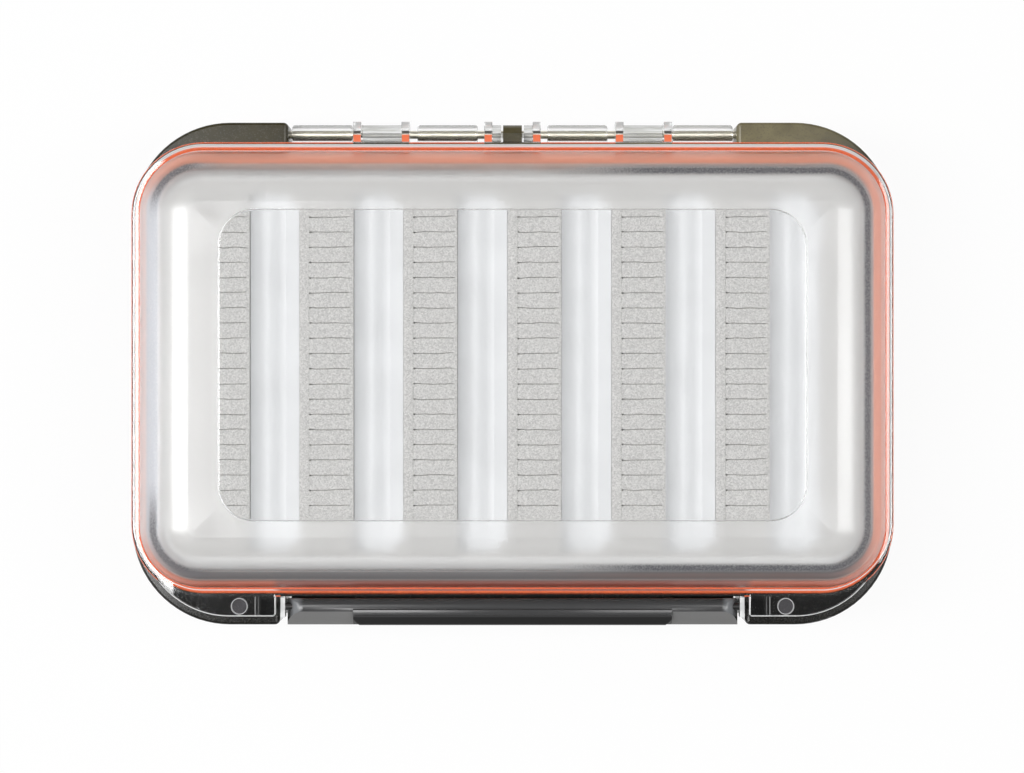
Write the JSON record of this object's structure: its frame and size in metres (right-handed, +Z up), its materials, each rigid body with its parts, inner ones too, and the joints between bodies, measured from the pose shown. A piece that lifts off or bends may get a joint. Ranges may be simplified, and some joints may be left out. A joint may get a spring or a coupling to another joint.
{
  "type": "fly box",
  "caption": "Double-sided waterproof fly box: a dark middle frame with slit foam over grooved trays, and a clear latching lid on each side, sharing one hinge pin.",
  "frame": {"origin": "bottom centre of the closed box, on the lower lid's window that it rests on", "axes": "+X along the hinge and the latches, +Y from the latches to the hinge, +Z up through the upper lid"},
  "size_m": [0.1526, 0.1008, 0.042],
  "materials": {
    "frame_plastic": "graphite with a fine sparkle, satin",
    "clear_plastic": "clear, window polished, dome frosted",
    "pin_steel": "drawn wire",
    "orange_silicone": "satin",
    "latch_plastic": "moulded, matte flats and smooth rolls",
    "tray_plastic": "smooth moulded white",
    "grey_foam": "closed-cell foam, fine speckle"
  },
  "bodies": {
    "frame": {"middle_frame": "frame_plastic", "hinge_pin": "pin_steel", "upper_seal": "orange_silicone", "lower_seal": "orange_silicone", "upper_tray": "tray_plastic", "lower_tray": "tray_plastic", "upper_foam_base": "grey_foam", "lower_foam_base": "grey_foam", "upper_slit_foam_1": "grey_foam", "upper_slit_foam_2": "grey_foam", "upper_slit_foam_3": "grey_foam", "upper_slit_foam_4": "grey_foam", "upper_slit_foam_5": "grey_foam", "upper_slit_foam_6": "grey_foam", "lower_slit_foam_1": "grey_foam", "lower_slit_foam_2": "grey_foam", "lower_slit_foam_3": "grey_foam", "lower_slit_foam_4": "grey_foam", "lower_slit_foam_5": "grey_foam", "lower_slit_foam_6": "grey_foam"},
    "upper_lid": {"upper_lid": "clear_plastic", "upper_latch_pin": "pin_steel"},
    "lower_lid": {"lower_lid": "clear_plastic", "lower_latch_pin": "pin_steel"},
    "upper_latch": {"upper_latch": "latch_plastic"},
    "lower_latch": {"lower_latch": "latch_plastic"}
  },
  "joints": [
    {"name": "upper_lid_hinge", "type": "hinge", "parent": "frame", "child": "upper_lid", "pos_m": [0, 0.0484, 0.021], "axis": [-1, 0, 0], "range_deg": [0, 180]},
    {"name": "lower_lid_hinge", "type": "hinge", "parent": "frame", "child": "lower_lid", "pos_m": [0, 0.0484, 0.021], "axis": [1, 0, 0], "range_deg": [0, 180]},
    {"name": "upper_latch_hinge", "type": "hinge", "parent": "upper_lid", "child": "upper_latch", "pos_m": [0, -0.0467, 0.028], "axis": [-1, 0, 0], "range_deg": [0, 110]},
    {"name": "lower_latch_hinge", "type": "hinge", "parent": "lower_lid", "child": "lower_latch", "pos_m": [0, -0.0467, 0.014], "axis": [1, 0, 0], "range_deg": [0, 110]}
  ]
}
